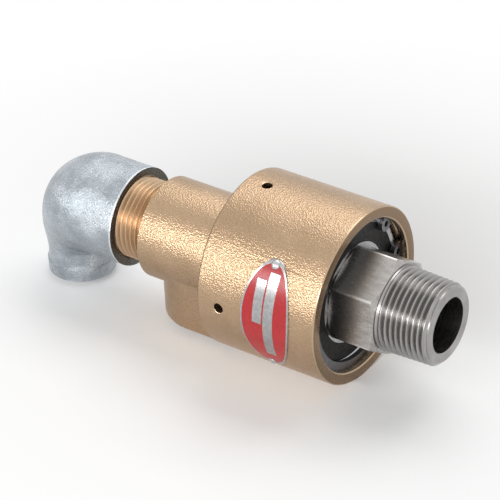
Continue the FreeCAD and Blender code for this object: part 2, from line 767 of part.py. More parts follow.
def make_nameplate():
    """Thin oval plate, bent round the casing and held by two rivets."""
    surface = body_d / 2
    lean = math.radians(PLATE_TILT)
    tall = surface * math.sin(PLATE_HALF_LENGTH / surface)
    centre = Vector(plate_x, 0, 0)
    tip = centre + Vector(tall * math.sin(lean), 0, tall * math.cos(lean))
    side_point = centre + Vector(PLATE_HALF_WIDTH * math.cos(lean), 0, -PLATE_HALF_WIDTH * math.sin(lean))
    oval = Part.Face(Part.Wire([Part.Ellipse(tip, side_point, centre).toShape()]))
    prism = oval.extrude(Vector(0, -body_d, 0))
    prism.rotate(Vector(0, 0, 0), Vector(1, 0, 0), PLATE_TURN - 180)
    back = plate_x - PLATE_HALF_WIDTH - CUT
    front = plate_x + PLATE_HALF_WIDTH + CUT
    plate = pipe(back, front, body_d + 2 * PLATE_THICKNESS, body_d).common(prism)
    for side in (-1, 1):
        plate = plate.cut(rivet_hole(side))
    return plate


def make_rivets():
    """Two drive rivets with low domed heads."""
    rivets = []
    head = RIVET_HEAD_D / 2
    dome = (head * head + RIVET_HEAD * RIVET_HEAD) / (2 * RIVET_HEAD)
    bottom = BEARING_OD / 2 + RIVET_FLOOR + RIVET_TIP_GAP
    seat = body_d / 2 + PLATE_THICKNESS
    for side in (-1, 1):
        x, angle = rivet_place(side)
        ball = Part.makeSphere(dome, polar(x, seat + RIVET_HEAD - dome, angle))
        cap = ball.common(pin(x, seat, seat + 2 * dome, angle, RIVET_HEAD_D + CUT))
        rivets.append(cap.fuse(pin(x, bottom, seat, angle, RIVET_D)))
    return Part.makeCompound(rivets)


save(make_body_casting(), "body_casting")
save(make_rotor(), "rotor")
save(make_outer_ring(hex_back), "front_bearing_outer_ring")
save(make_inner_ring(hex_back), "front_bearing_inner_ring")
save(make_balls(hex_back), "front_bearing_balls")
save(make_cage(hex_back), "front_bearing_cage")
save(make_shield(hex_back, -1), "front_bearing_outer_shield")
save(make_shield(front_bearing, 1), "front_bearing_inner_shield")
save(make_outer_ring(rear_bearing_front), "rear_bearing_outer_ring")
save(make_inner_ring(rear_bearing_front), "rear_bearing_inner_ring")
save(make_balls(rear_bearing_front), "rear_bearing_balls")
save(make_cage(rear_bearing_front), "rear_bearing_cage")
save(make_shield(rear_bearing_front, -1), "rear_bearing_front_shield")
save(make_shield(rear_bearing, 1), "rear_bearing_rear_shield")
save(make_outer_spacer(), "outer_spacer")
save(make_inner_spacer(), "inner_spacer")
save(make_bore_circlip(), "bore_circlip")
save(make_shaft_circlip(), "shaft_circlip")
save(make_seal_seat(), "seal_seat")
save(make_seat_o_ring(), "seat_o_ring")
save(make_floating_ring(), "floating_seal_ring")
save(make_seal_o_ring(), "seal_o_ring")
save(make_seal_spring(), "seal_spring")
save(make_drive_pins(), "drive_pins")
save(make_end_nipple(), "end_nipple")
save(make_elbow(), "elbow")
save(make_nameplate(), "nameplate")
save(make_rivets(), "nameplate_rivets")
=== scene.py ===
# %% [markdown]
# # A hydraulic rotary union
# A rotary union feeds oil or steam from a pipe that stands still into a roll that turns.
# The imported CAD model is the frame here: every node keeps its place, and this lesson gives
# each one its surface. Pieces whose look depends on fine form, such as the pipe threads, are
# worked out again with numpy and stand in for their CAD node.

# %% Load the frame
import bpy
import bmesh
import json
import numpy as np
from mathutils import Matrix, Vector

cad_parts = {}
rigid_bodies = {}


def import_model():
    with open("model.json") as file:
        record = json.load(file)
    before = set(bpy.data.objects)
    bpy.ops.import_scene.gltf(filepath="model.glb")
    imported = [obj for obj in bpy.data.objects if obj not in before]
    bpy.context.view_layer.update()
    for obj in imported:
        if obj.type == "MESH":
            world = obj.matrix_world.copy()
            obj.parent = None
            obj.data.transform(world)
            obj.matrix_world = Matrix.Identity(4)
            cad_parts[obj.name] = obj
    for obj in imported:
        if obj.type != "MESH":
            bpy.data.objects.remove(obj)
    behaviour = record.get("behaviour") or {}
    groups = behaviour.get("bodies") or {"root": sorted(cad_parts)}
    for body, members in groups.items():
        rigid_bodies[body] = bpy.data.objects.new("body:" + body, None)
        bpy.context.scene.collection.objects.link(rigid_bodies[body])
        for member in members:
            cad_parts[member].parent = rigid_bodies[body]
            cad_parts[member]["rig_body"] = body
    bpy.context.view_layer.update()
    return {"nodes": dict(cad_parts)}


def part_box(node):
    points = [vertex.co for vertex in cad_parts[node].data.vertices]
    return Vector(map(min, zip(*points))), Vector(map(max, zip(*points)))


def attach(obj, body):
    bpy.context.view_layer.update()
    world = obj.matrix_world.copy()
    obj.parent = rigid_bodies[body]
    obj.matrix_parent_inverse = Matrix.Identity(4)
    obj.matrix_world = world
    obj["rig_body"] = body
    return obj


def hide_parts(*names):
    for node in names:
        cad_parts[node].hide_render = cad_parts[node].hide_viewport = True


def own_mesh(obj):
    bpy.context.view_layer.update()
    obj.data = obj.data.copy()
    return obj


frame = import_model()
nodes = frame["nodes"]
MM = 0.001

# %% [markdown]
# ## Measures
# The rotor's open end is the origin and its axis is X. Stations along the axis are read
# from the boxes of the CAD nodes, so that a new piece always meets its neighbours. What no
# box gives, such as the faces of the hexagon, is a named value beside its own piece.

# %% Stations and radii
def station(name, end):
    """The lowest (0) or highest (1) X of a CAD node."""
    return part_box(name)[end][0]


ROTOR_BACK = station("rotor", 0)
NIPPLE_FRONT = station("end_nipple", 1)
NIPPLE_BACK = station("end_nipple", 0)
MOUTH = station("body_casting", 1)
NECK_END = station("body_casting", 0)
BODY_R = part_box("body_casting")[1][1]
print("casing from", round(NECK_END / MM, 1), "to", round(MOUTH / MM, 1), "mm")

# %% [markdown]
# ## Skins
# A turned or milled piece is one skin: rows follow its profile, and columns go round the
# axis. The radius may change with the angle, which gives a thread its helix and a hexagon
# its flats. One helper turns such a grid of points into a closed mesh. The rows of a thread
# follow its helix, so past the last column each of them meets the row one turn before it.

# %% A mesh made into a piece
DOUBLES = 1e-6


def stand_in(name, mesh, body, node, sharp):
    """Doubles merged, edges sharper than an angle kept, the rest shaded smooth, and the node replaced."""
    work = bmesh.new()
    work.from_mesh(mesh)
    bmesh.ops.remove_doubles(work, verts=work.verts, dist=DOUBLES)
    work.to_mesh(mesh)
    work.free()
    mesh.shade_smooth()
    mesh.set_sharp_from_angle(angle=np.radians(sharp))
    piece = bpy.data.objects.new(name, mesh)
    bpy.context.scene.collection.objects.link(piece)
    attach(piece, body)
    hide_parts(node)
    return piece


def unpaired_edges(mesh):
    """How many edges don't join exactly two faces: none on a closed skin."""
    used = np.empty(len(mesh.loops), dtype=np.int32)
    mesh.loops.foreach_get("edge_index", used)
    return int((np.bincount(used, minlength=len(mesh.edges)) != 2).sum())


print("pieces merge points closer than", DOUBLES / MM, "mm")


# %% A grid of points made into a skin
def skin(name, points, seam, body, node, sharp):
    """Quads between neighbours of a (row, column) grid that closes both ways. Past the last column, row i
    meets row seam[i]."""
    rows, columns = points.shape[:2]
    row, column = np.meshgrid(np.arange(rows), np.arange(columns), indexing="ij")
    next_row, next_column = (row + 1) % rows, (column + 1) % columns
    last = column == columns - 1
    across, next_across = np.where(last, seam[row], row), np.where(last, seam[next_row], next_row)
    corners = [(row, column), (next_row, column), (next_across, next_column), (across, next_column)]
    quads = np.stack([r * columns + c for r, c in corners], axis=-1).reshape(-1, 4)
    mesh = bpy.data.meshes.new(name)
    mesh.from_pydata(points.reshape(-1, 3), [], quads)
    piece = stand_in(name, mesh, body, node, sharp)
    print(name, rows, "x", columns, "points,", unpaired_edges(mesh), "unpaired edges")
    return piece


# %% A turned profile
def turn(x, radius, angles):
    """Points at (x, r cos a, r sin a). Both x and r hold one value per row, or one per row and column."""
    shape = (len(x), len(angles))
    radius = np.broadcast_to(np.reshape(radius, (len(x), -1)), shape)
    along = np.broadcast_to(np.reshape(x, (len(x), -1)), shape)
    return np.stack([along, radius * np.cos(angles), radius * np.sin(angles)], axis=-1)


def path(*corners):
    """Straight runs between (x, radius, count) corners, each of count steps, as arrays of x and radius."""
    xs, rs = [], []
    for (x0, r0, count), (x1, r1, _) in zip(corners[:-1], corners[1:]):
        share = np.arange(count) / count
        xs.append(x0 + (x1 - x0) * share)
        rs.append(r0 + (r1 - r0) * share)
    return np.concatenate(xs), np.concatenate(rs)


print("a profile is a list of (x, radius, count) corners")

# %% [markdown]
# ## Pipe thread
# A pipe thread is a V-shaped ridge with rounded crest and root that climbs a slim cone. Its
# height depends only on the distance along the helix: the station less one pitch per turn.
# The arcsine of a sine is a triangle wave. Shrinking the sine a little before the arcsine
# rounds the crest and the root and leaves the flanks straight.

# %% Depth of the thread's groove
THREADS_PER_INCH = 11
PITCH = 25.4 / THREADS_PER_INCH * MM
THREAD_DEPTH = 1.35 * MM
CREST = 0.97


def groove(x, angles):
    """Depth of a right-hand thread: arcsin(c sin(2 pi t)) laid out from 0 to 1, where t is the station over
    the pitch less the angle over a turn."""
    turns = x / PITCH - angles / (2 * np.pi)
    wave = np.arcsin(CREST * np.sin(2 * np.pi * turns)) / np.arcsin(CREST)
    return THREAD_DEPTH * (wave + 1) / 2


print("pitch", round(PITCH / MM, 3), "mm")


# %% Rows that follow the helix
ROWS_PER_TURN = 16


def helix_rows(start, end, angles):
    """x = start - (i - n) pitch / n + pitch angle / turn for row i of n per turn, held between the ends.
    Row i meets row i - n, and the first n meet themselves."""
    row = np.arange(int(np.ceil((start - end) / PITCH * ROWS_PER_TURN)) + 2 * ROWS_PER_TURN + 2)
    shift = PITCH * (angles - angles[0]) / (2 * np.pi)
    x = start - (row[:, None] - ROWS_PER_TURN) * PITCH / ROWS_PER_TURN + shift
    return np.clip(x, end, start), np.where(row < ROWS_PER_TURN, row, row - ROWS_PER_TURN)


def joined(sections):
    """Stacked points of several sections and the seam of the whole. A section may have a seam of its own."""
    stack, seam, first = [], [], 0
    for section in sections:
        points, met = section if isinstance(section, tuple) else (section, np.arange(len(section)))
        stack.append(points)
        seam.append(met + first)
        first += len(points)
    return np.concatenate(stack), np.concatenate(seam)


print(ROWS_PER_TURN, "rows for each turn of a thread")

# %% [markdown]
# ## Rotor
# The rotor is turned from stainless bar. Its taper thread screws into the roll. The hexagon
# takes a spanner and has bevelled corners. Where the bevel of the open end meets the thread
# the smaller of the two radii is left, and the hexagon is likewise the smaller of a hexagon
# and two cones.

# %% Rotor measures
TIP_R = 16.3 * MM
TAPER = 1 / 32
TIP_BEVEL_R = 14.75 * MM
TIP_BEVEL_SLOPE = 1.05
TIP_BEVEL_END = -1.7 * MM
THREAD_RUNOUT = 2.2 * MM
BORE_R = 11.0 * MM
BORE_BEVEL = 0.35 * MM
HEX_FRONT = -22.0 * MM
HEX_BACK = -42.0 * MM
HEX_HALF = 18.0 * MM
HEX_CORNER_R = 20.7 * MM
HEX_BEVEL = 1.75 * MM
HEX_TURN = np.radians(24.7)
SHAFT_R = 15.0 * MM
SHAFT_END = station("seal_seat", 1)
CLIP_GROOVE_R = 14.3 * MM
CLIP_GROOVE_FRONT = station("shaft_circlip", 1)
CLIP_GROOVE_BACK = -77.6 * MM
SEAT_R = 13.0 * MM
SEAT_BEVEL = 0.4 * MM
EDGE = 0.05 * MM
ROTOR_COLUMNS = 336
rotor_angles = HEX_TURN + np.linspace(0, 2 * np.pi, ROTOR_COLUMNS, endpoint=False)
print("rotor from", round(ROTOR_BACK / MM, 1), "mm to 0")


# %% Threaded end
def threaded_end():
    """Taper cone less the groove, cut by the bevel of the open end. The groove fades out at the hexagon."""
    x, seam = helix_rows(-EDGE, HEX_FRONT, rotor_angles)
    fade = np.clip((x - HEX_FRONT) / THREAD_RUNOUT, 0, 1)
    radius = TIP_R - x * TAPER - groove(x, rotor_angles) * fade
    bevel = TIP_BEVEL_R - x * TIP_BEVEL_SLOPE
    return turn(x, np.minimum(radius, bevel), rotor_angles), seam


thread = threaded_end()
print("thread over", round(np.abs(thread[0][..., 1:]).max() * 2 / MM, 2), "mm")


# %% Hexagon
def hexagon():
    """Smallest of the hexagon's polar radius, half its width over cos(angle from the flat's middle), the
    circle through its cut corners, and two cones of 30 degrees from its faces."""
    near = np.linspace(0, HEX_BEVEL, 24)
    x = np.concatenate([HEX_FRONT - near, HEX_BACK + near[::-1]])
    turn_in_flat = (rotor_angles - HEX_TURN) % (np.pi / 3) - np.pi / 6
    flats = np.minimum(HEX_HALF / np.cos(turn_in_flat), HEX_CORNER_R)
    depth = np.minimum(HEX_FRONT - x, x - HEX_BACK)
    cone = HEX_HALF - EDGE + depth * np.sqrt(3)
    return x, np.minimum(flats[None, :], cone[:, None])


hex_x, hex_radius = hexagon()
print("hexagon", round(hex_radius.max() * 2 / MM, 2), "mm over its corners")


# %% Whole rotor
def make_rotor():
    """Open end, thread, hexagon, shaft and bore, one after the other round the profile."""
    mouth_r = BORE_R + BORE_BEVEL
    end_x, end_r = path((0, mouth_r, 4), (0, TIP_BEVEL_R - EDGE, 1), (0, TIP_BEVEL_R, 1))
    shaft_x, shaft_r = path(
        (HEX_BACK, HEX_HALF - 2 * EDGE, 3), (HEX_BACK, SHAFT_R, 4),
        (CLIP_GROOVE_FRONT, SHAFT_R, 1), (CLIP_GROOVE_FRONT, CLIP_GROOVE_R, 1),
        (CLIP_GROOVE_BACK, CLIP_GROOVE_R, 1), (CLIP_GROOVE_BACK, SHAFT_R, 1),
        (SHAFT_END, SHAFT_R, 1), (SHAFT_END, SEAT_R, 4),
        (ROTOR_BACK + SEAT_BEVEL, SEAT_R, 1), (ROTOR_BACK, SEAT_R - SEAT_BEVEL, 2),
        (ROTOR_BACK, BORE_R, 24), (-BORE_BEVEL, BORE_R, 2), (0, mouth_r, 1),
    )
    points, seam = joined([
        turn(end_x, end_r, rotor_angles),
        thread,
        turn(hex_x, hex_radius, rotor_angles),
        turn(shaft_x, shaft_r, rotor_angles),
    ])
    return skin("turned_rotor", points, seam, "rotor", "rotor", sharp=28)


rotor = make_rotor()

# %% [markdown]
# ## End nipple
# A turned nipple of copper alloy joins the casing to the elbow. A plain band is left where
# the lathe tool started, then the thread runs into the elbow's mouth.

# %% Nipple measures
NIPPLE_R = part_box("end_nipple")[1][2]
NIPPLE_COLUMNS = 240
PLAIN_BAND = 1.6 * MM
THREAD_START = 1.2 * MM
TAIL_R = 14.98 * MM
SIPHON_R = 7.475 * MM
SIPHON_END = -131.3 * MM
PASSAGE_R = 6.2 * MM
NIPPLE_BEVEL = 1.0 * MM
THREAD_BEVEL = 1.6 * MM
STEP = 0.02 * MM
print("nipple from", round(NIPPLE_BACK / MM, 1), "to", round(NIPPLE_FRONT / MM, 1), "mm")


# %% Nipple
def make_nipple():
    """Plain tail in the casing, a plain band, a threaded length and the bore back through it."""
    around = np.linspace(0, 2 * np.pi, NIPPLE_COLUMNS, endpoint=False)
    x, helix_seam = helix_rows(NECK_END - STEP, NIPPLE_BACK + NIPPLE_BEVEL, around)
    cut = np.clip((NECK_END - PLAIN_BAND - x) / THREAD_START, 0, 1)
    radius = NIPPLE_R - groove(x, around) * cut
    tail_x, tail_r = path(
        (NIPPLE_FRONT, SIPHON_R + NIPPLE_BEVEL, 1), (NIPPLE_FRONT, TAIL_R - NIPPLE_BEVEL, 1),
        (NIPPLE_FRONT - NIPPLE_BEVEL, TAIL_R, 6), (NECK_END, TAIL_R, 2),
        (NECK_END, NIPPLE_R - EDGE, 1), (NECK_END - STEP, NIPPLE_R, 1),
    )
    bore_x, bore_r = path(
        (NIPPLE_BACK, NIPPLE_R - THREAD_BEVEL, 2), (NIPPLE_BACK, PASSAGE_R + NIPPLE_BEVEL, 1),
        (NIPPLE_BACK + NIPPLE_BEVEL, PASSAGE_R, 6), (SIPHON_END, PASSAGE_R, 1), (SIPHON_END, SIPHON_R, 4),
        (NIPPLE_FRONT - NIPPLE_BEVEL, SIPHON_R, 1), (NIPPLE_FRONT, SIPHON_R + NIPPLE_BEVEL, 1),
    )
    helix = (turn(x, radius, around), helix_seam)
    points, seam = joined([turn(tail_x, tail_r, around), helix, turn(bore_x, bore_r, around)])
    return skin("threaded_nipple", points, seam, "casing", "end_nipple", sharp=32)


nipple = make_nipple()

# %% [markdown]
# ## Smooth copies
# The frame's meshes are loose triangles, which would shade as facets. A copy with its
# doubles merged shades as one surface and keeps every edge sharper than a given angle.

# %% Copy of a CAD node with joined faces
def smooth_copy(node):
    """The node's mesh with doubles merged and smooth shading between its sharp edges."""
    mesh = nodes[node].data.copy()
    mesh.name = node + "_finished"
    mesh.materials.clear()
    piece = stand_in(mesh.name, mesh, nodes[node]["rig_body"], node, sharp=30)
    even = piece.modifiers.new("even shading", "WEIGHTED_NORMAL")
    even.keep_sharp = True
    return piece


copies = {node: smooth_copy(node) for node in nodes if node not in ("rotor", "end_nipple")}
print(len(copies), "smooth copies")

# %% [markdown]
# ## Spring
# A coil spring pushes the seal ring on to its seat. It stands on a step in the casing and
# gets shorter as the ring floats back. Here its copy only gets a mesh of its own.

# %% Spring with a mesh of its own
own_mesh(copies["seal_spring"])

# %% [markdown]
# ## Finishes
# Every finish is a small tree of nodes on Object coordinates. Two numbers are never enough
# for metal: its roughness and its tone wander a little, and its grain is a fine bump.

# %% A new finish
def new_finish(name, colour, roughness, metallic):
    """A material with its shader, and the object's coordinates in millimetres."""
    material = bpy.data.materials.new(name)
    material.use_nodes = True
    tree = material.node_tree
    shader = tree.nodes["Principled BSDF"]
    shader.inputs["Base Color"].default_value = (*colour, 1)
    shader.inputs["Roughness"].default_value = roughness
    shader.inputs["Metallic"].default_value = metallic
    place = tree.nodes.new("ShaderNodeTexCoord").outputs["Object"]
    scale = tree.nodes.new("ShaderNodeVectorMath")
    scale.operation = "SCALE"
    scale.inputs["Scale"].default_value = 1 / MM
    tree.links.new(place, scale.inputs[0])
    return material, tree, shader, scale.outputs[0]


print("one step of a finish is", MM, "m")


# %% Patterns
DENT_JOIN = 0.25


def stretched(tree, place, factors):
    """The place with each axis multiplied, which draws a pattern out along one of them."""
    step = tree.nodes.new("ShaderNodeVectorMath")
    step.operation = "MULTIPLY"
    step.inputs[1].default_value = factors
    tree.links.new(place, step.inputs[0])
    return step.outputs[0]


def noise(tree, place, scale, detail=4, roughness=0.55):
    """Soft noise of a given number of waves per millimetre."""
    step = tree.nodes.new("ShaderNodeTexNoise")
    step.inputs["Scale"].default_value = scale
    step.inputs["Detail"].default_value = detail
    step.inputs["Roughness"].default_value = roughness
    tree.links.new(place, step.inputs["Vector"])
    return step.outputs["Fac"]


def cells(tree, place, scale):
    """Distance to the nearest of scattered points, softly joined: round dents side by side."""
    step = tree.nodes.new("ShaderNodeTexVoronoi")
    step.feature = "SMOOTH_F1"
    step.inputs["Scale"].default_value = scale
    step.inputs["Smoothness"].default_value = DENT_JOIN
    tree.links.new(place, step.inputs["Vector"])
    return step.outputs["Distance"]


print("patterns: noise and cells")


# %% A value turned into a number or a colour
def spread(tree, value, low, high, start=0.3, end=0.7):
    """A value from start to end, laid out from low to high."""
    step = tree.nodes.new("ShaderNodeMapRange")
    step.inputs["From Min"].default_value = start
    step.inputs["From Max"].default_value = end
    step.inputs["To Min"].default_value = low
    step.inputs["To Max"].default_value = high
    tree.links.new(value, step.inputs["Value"])
    return step.outputs["Result"]


def shade(tree, value, dark, light, start=0.3, end=0.7):
    """A colour between two, led by a value."""
    step = tree.nodes.new("ShaderNodeValToRGB")
    ends = step.color_ramp.elements
    ends[0].position, ends[0].color = start, (*dark, 1)
    ends[1].position, ends[1].color = end, (*light, 1)
    tree.links.new(value, step.inputs["Fac"])
    return step.outputs["Color"]


print("values lead numbers through spread and colours through shade")


# %% Arithmetic on values
def combine(tree, operation, first, second=0.0):
    """Arithmetic on one or two values, each a number or an output."""
    step = tree.nodes.new("ShaderNodeMath")
    step.operation = operation
    for socket, value in zip(step.inputs, (first, second)):
        if isinstance(value, (int, float)):
            socket.default_value = value
        else:
            tree.links.new(value, socket)
    return step.outputs[0]


def squared(tree, value):
    """A value times itself."""
    return combine(tree, "MULTIPLY", value, value)


def mixed(tree, first, first_share, second, second_share):
    """First times its share plus second times its share."""
    return combine(tree, "ADD", combine(tree, "MULTIPLY", first, first_share),
                   combine(tree, "MULTIPLY", second, second_share))


print("arithmetic: one node each")


# %% Colours over each other
def blend_colours(tree, share, first, second):
    """The first colour where the share is 0 and the second where it is 1."""
    step = tree.nodes.new("ShaderNodeMix")
    step.data_type = "RGBA"
    tree.links.new(share, step.inputs["Factor"])
    for socket, value in ((step.inputs[6], first), (step.inputs[7], second)):
        if isinstance(value, tuple):
            socket.default_value = (*value, 1)
        else:
            tree.links.new(value, socket)
    return step.outputs[2]


def multiply_colours(tree, first, second, share):
    """The first colour darkened by a share of the second."""
    step = tree.nodes.new("ShaderNodeMix")
    step.data_type, step.blend_type = "RGBA", "MULTIPLY"
    step.inputs["Factor"].default_value = share
    tree.links.new(first, step.inputs[6])
    tree.links.new(second, step.inputs[7])
    return step.outputs[2]


print("colours blend or multiply")


# %% Bump and the distance from the axis
def bump(tree, shader, height, depth):
    """A bump of a depth in millimetres on the shader's normal."""
    step = tree.nodes.new("ShaderNodeBump")
    step.inputs["Distance"].default_value = depth * MM
    tree.links.new(height, step.inputs["Height"])
    tree.links.new(step.outputs["Normal"], shader.inputs["Normal"])


def from_axis(tree, place):
    """The distance from the X axis, sqrt(y y + z z), and the station along it, both in millimetres."""
    parts = tree.nodes.new("ShaderNodeSeparateXYZ")
    tree.links.new(place, parts.inputs[0])
    square = combine(tree, "ADD", squared(tree, parts.outputs["Y"]), squared(tree, parts.outputs["Z"]))
    return combine(tree, "SQRT", square), parts.outputs["X"]


print("helpers ready for the finishes")

# %% [markdown]
# ## Shot-blasted bronze
# The casing is sand cast and blasted with steel shot, so its skin is an even field of tiny
# shallow dents, each about half a millimetre wide. Only the mouth, the holes' edges and the
# bore are machined: smoother and brighter. The mouth's flat face is darker with painted
# shade, and the back edge of the barrel has a dark line of painted shade. All of this is one
# material, told apart by the distance from the axis and the station along it.

# %% Where the casing is machined, and where shade is painted on
# In millimetres, as the finishes measure.
WEEP_X = -80.1
WEEP_REACH = 4.0
MOUTH_BEVEL = 0.5
FACE_DEPTH = 0.04
FACE_BEVEL = 0.42
BARREL_BACK = -90.0
BARREL_FLOOR = -89.0
BORE_REACH = 32.6
SKIN_DEPTH = 0.03
# Where the dark line of painted shade on the barrel's back edge lies.
EDGE_SHADE_INNER_R = 33.6
EDGE_SHADE_FROM, EDGE_SHADE_FULL, EDGE_SHADE_GONE = -0.1, 0.15, 1.0


def machined_share(tree, radius, along):
    """1 on the mouth's bevel, in the bores and round the weep holes."""
    at_mouth = combine(tree, "GREATER_THAN", along, MOUTH / MM - MOUTH_BEVEL)
    inside = combine(tree, "LESS_THAN", radius, BORE_REACH)
    in_barrel = combine(tree, "GREATER_THAN", along, BARREL_FLOOR)
    deep = combine(tree, "LESS_THAN", radius, BODY_R / MM - SKIN_DEPTH)
    off = combine(tree, "ABSOLUTE", combine(tree, "SUBTRACT", along, WEEP_X))
    near_hole = combine(tree, "LESS_THAN", off, WEEP_REACH)
    hole = combine(tree, "MULTIPLY", deep, near_hole)
    bore = combine(tree, "MULTIPLY", inside, in_barrel)
    return combine(tree, "MAXIMUM", at_mouth, combine(tree, "MAXIMUM", bore, hole))


def face_shade_share(tree, radius, along):
    """1 on the mouth's flat face, which is turned and carries painted shade."""
    face = combine(tree, "GREATER_THAN", along, MOUTH / MM - FACE_DEPTH)
    return combine(tree, "MULTIPLY", face, combine(tree, "LESS_THAN", radius, BODY_R / MM - FACE_BEVEL))


def edge_shade_share(tree, radius, along):
    """Up to 1 on the rounded back edge of the barrel, where a dark line of painted shade lies."""
    edge = spread(tree, along, 1.0, 0.0, BARREL_BACK + EDGE_SHADE_FULL, BARREL_BACK + EDGE_SHADE_GONE)
    on_barrel = combine(tree, "GREATER_THAN", along, BARREL_BACK + EDGE_SHADE_FROM)
    edge = combine(tree, "MULTIPLY", edge, on_barrel)
    return combine(tree, "MULTIPLY", edge, combine(tree, "GREATER_THAN", radius, EDGE_SHADE_INNER_R))


# %% Bronze
DARK_TAN, LIGHT_TAN = (0.43, 0.298, 0.188), (0.48, 0.336, 0.215)
PIT_TINT, PLAIN_TINT = (0.72, 0.68, 0.62), (1.0, 1.0, 1.0)
# The second colour is painted shade for the mouth's flat face.
CUT_BRONZE, PAINTED_FACE_SHADE = (0.5, 0.37, 0.25), (0.26, 0.17, 0.1)
# A dark colour painted on as shade along the barrel's back edge.
PAINTED_EDGE_SHADE = (0.12, 0.075, 0.04)
DENTS_PER_MM, GRAINS_PER_MM, PATCHES_PER_MM = 1.6, 1.4, 0.05


def bronze():
    """Height is the dents plus 0.4 of the grain, and nearly none where it is cut. The cast skin wanders
    between two tans and is darker in its pits."""
    material, tree, shader, place = new_finish("shot_blasted_bronze", LIGHT_TAN, 0.4, 0.7)
    radius, along = from_axis(tree, place)
    machined = machined_share(tree, radius, along)
    face_shade = face_shade_share(tree, radius, along)
    dents = cells(tree, place, DENTS_PER_MM)
    grain = noise(tree, place, GRAINS_PER_MM, detail=3, roughness=0.6)
    patches = noise(tree, place, PATCHES_PER_MM, detail=3, roughness=0.5)
    cast = shade(tree, patches, DARK_TAN, LIGHT_TAN, 0.4, 0.6)
    pits = shade(tree, grain, PIT_TINT, PLAIN_TINT, 0.36, 0.52)
    skin_colour = multiply_colours(tree, cast, pits, 0.5)
    # On the mouth's flat face the cut colour gives way to painted shade.
    cut_colour = blend_colours(tree, face_shade, CUT_BRONZE, PAINTED_FACE_SHADE)
    # A dark line of painted shade along the barrel's back edge.
    skin_colour = blend_colours(tree, edge_shade_share(tree, radius, along), skin_colour, PAINTED_EDGE_SHADE)
    skin_colour = blend_colours(tree, machined, skin_colour, cut_colour)
    tree.links.new(skin_colour, shader.inputs["Base Color"])
    tree.links.new(spread(tree, machined, 0.93, 0.97, 0, 1), shader.inputs["Metallic"])
    rough = spread(tree, grain, 0.37, 0.28)
    gap = combine(tree, "MULTIPLY", machined, -0.06)
    tree.links.new(combine(tree, "ADD", rough, gap), shader.inputs["Roughness"])
    height = combine(tree, "ADD", dents, combine(tree, "MULTIPLY", grain, 0.4))
    height = combine(tree, "MULTIPLY", height, spread(tree, machined, 1.0, 0.03, 0, 1))
    bump(tree, shader, height, 0.15)
    return material


BRONZE = bronze()
copies["body_casting"].data.materials.append(BRONZE)
print("casing:", BRONZE.name)

# %% [markdown]
# ## Turned steel and bronze
# A lathe leaves fine rings. They are noise drawn out round the axis: only the station and
# the distance from the axis are read, each finely, so the pattern is the same all round.
# Streaks are softer: the same place with Y and Z shrunk, so each one runs across the axis.
# The hexagon is ground instead, so it has specks and smears, and a painted highlight runs
# along its corners. In a thread, painted shade darkens the grooves below the crests.

# %% Ground hexagon
# The last colour is a painted highlight along the hexagon's corners.
DARK_GROUND, LIGHT_GROUND, EDGE_HIGHLIGHT_STEEL = (0.34, 0.32, 0.3), (0.54, 0.52, 0.5), (0.74, 0.73, 0.72)
EDGE_HIGHLIGHT_FROM, EDGE_HIGHLIGHT_TO = HEX_CORNER_R / MM - 0.35, HEX_CORNER_R / MM - 0.05


def ground_steel():
    """Half specks and half soft smears, rougher than the turned faces, and a painted highlight on the
    corners.
    """
    material, tree, shader, place = new_finish("ground_stainless", LIGHT_GROUND, 0.3, 1.0)
    smears = noise(tree, stretched(tree, place, (0.35, 1.2, 1.2)), 0.5, detail=4, roughness=0.6)
    specks = noise(tree, place, 2.2, detail=3, roughness=0.7)
    both = mixed(tree, smears, 0.5, specks, 0.5)
    ground = shade(tree, both, DARK_GROUND, LIGHT_GROUND, 0.38, 0.62)
    radius, _ = from_axis(tree, place)
    corner = spread(tree, radius, 0.0, 1.0, EDGE_HIGHLIGHT_FROM, EDGE_HIGHLIGHT_TO)
    # The corners carry a painted highlight.
    tree.links.new(blend_colours(tree, corner, ground, EDGE_HIGHLIGHT_STEEL), shader.inputs["Base Color"])
    tree.links.new(spread(tree, both, 0.34, 0.24), shader.inputs["Roughness"])
    bump(tree, shader, specks, 0.03)
    return material


# %% Painted shade in a thread's grooves
THREAD_INNER_R = 13.5


def painted_groove_shade(tree, radius, along, crest_r, taper, back, front):
    """Share of painted shade in a thread's grooves: from 0 on the crests to 0.8 at 1.2 mm below them. The
    crests' radius is crest_r - taper x.
    """
    below = combine(tree, "SUBTRACT", combine(tree, "MULTIPLY", along, -taper), radius)
    below = combine(tree, "ADD", below, crest_r)
    groove_shade = spread(tree, below, 0.0, 0.8, 0.15, 1.2)
    in_thread = combine(tree, "MULTIPLY", combine(tree, "GREATER_THAN", along, back),
                        combine(tree, "LESS_THAN", along, front))
    outside = combine(tree, "GREATER_THAN", radius, THREAD_INNER_R)
    in_thread = combine(tree, "MULTIPLY", in_thread, outside)
    return combine(tree, "MULTIPLY", groove_shade, in_thread)


print("dirt outside a radius of", THREAD_INNER_R, "mm")


